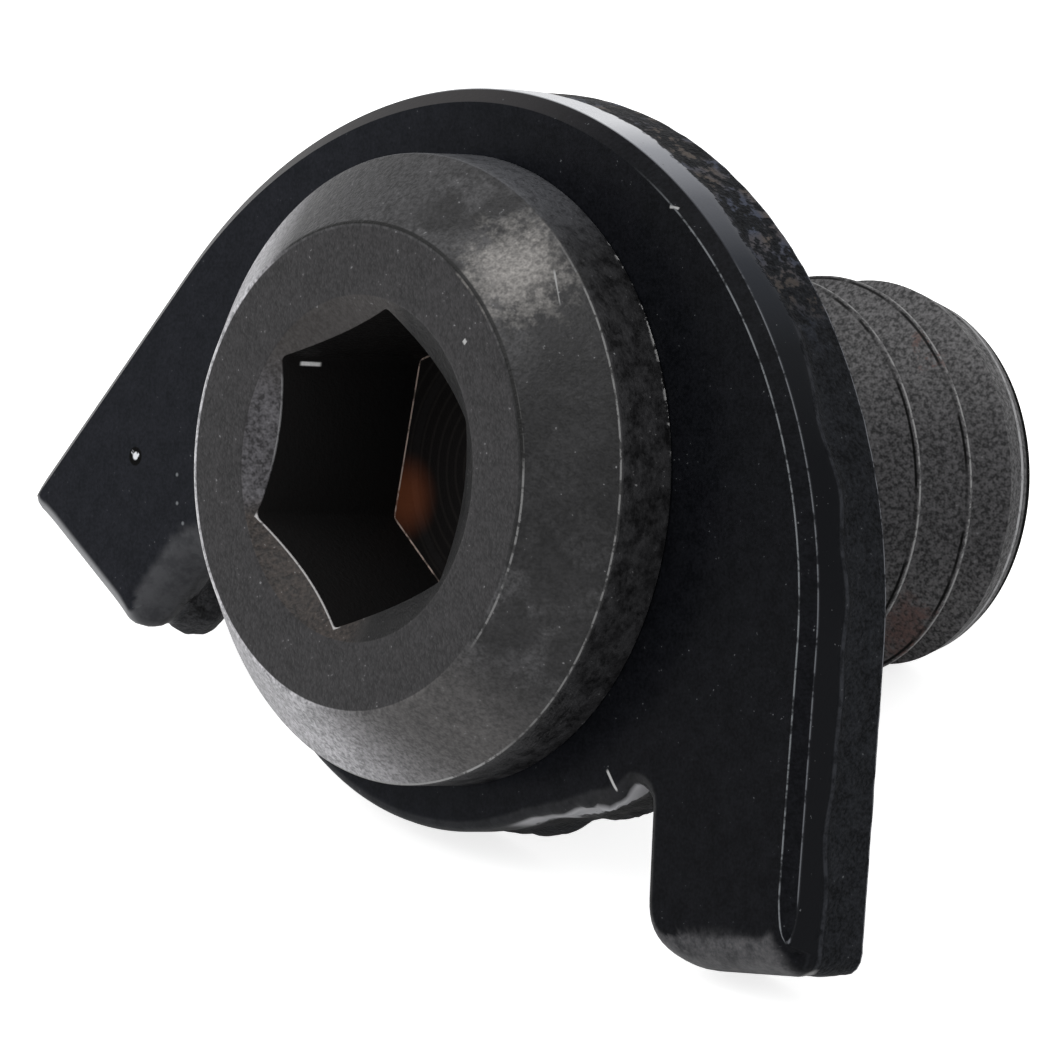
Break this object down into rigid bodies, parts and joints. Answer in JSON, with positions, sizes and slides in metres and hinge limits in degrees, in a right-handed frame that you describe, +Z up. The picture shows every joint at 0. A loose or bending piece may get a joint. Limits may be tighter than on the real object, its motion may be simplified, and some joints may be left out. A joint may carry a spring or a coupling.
{
  "type": "cable clamp bolt",
  "caption": "Low-head socket bolt turning in a stamped steel clamp plate with two arms, for trapping a cable end.",
  "frame": {"origin": "where the bolt axis crosses the plate's clamping face", "axes": "+X along the plate from its long arm to its short arm, +Y away from the head towards the thread, +Z up; the bolt lies on its side and its axis leans about 19 degrees down towards the thread"},
  "size_m": [0.0173, 0.0121, 0.0104],
  "materials": {
    "bolt_steel": "black oxide, matt and grainy, rubbed brighter along its edges",
    "plate_black": "smooth black coating over sheared sheet steel, semi-gloss"
  },
  "bodies": {
    "plate": {"clamp_plate": "plate_black"},
    "bolt": {"bolt": "bolt_steel"}
  },
  "joints": [
    {"name": "bolt_turn", "type": "hinge", "parent": "plate", "child": "bolt", "pos_m": [0, 0, 0], "axis": [0, 0.9433, -0.332], "continuous": true}
  ]
}
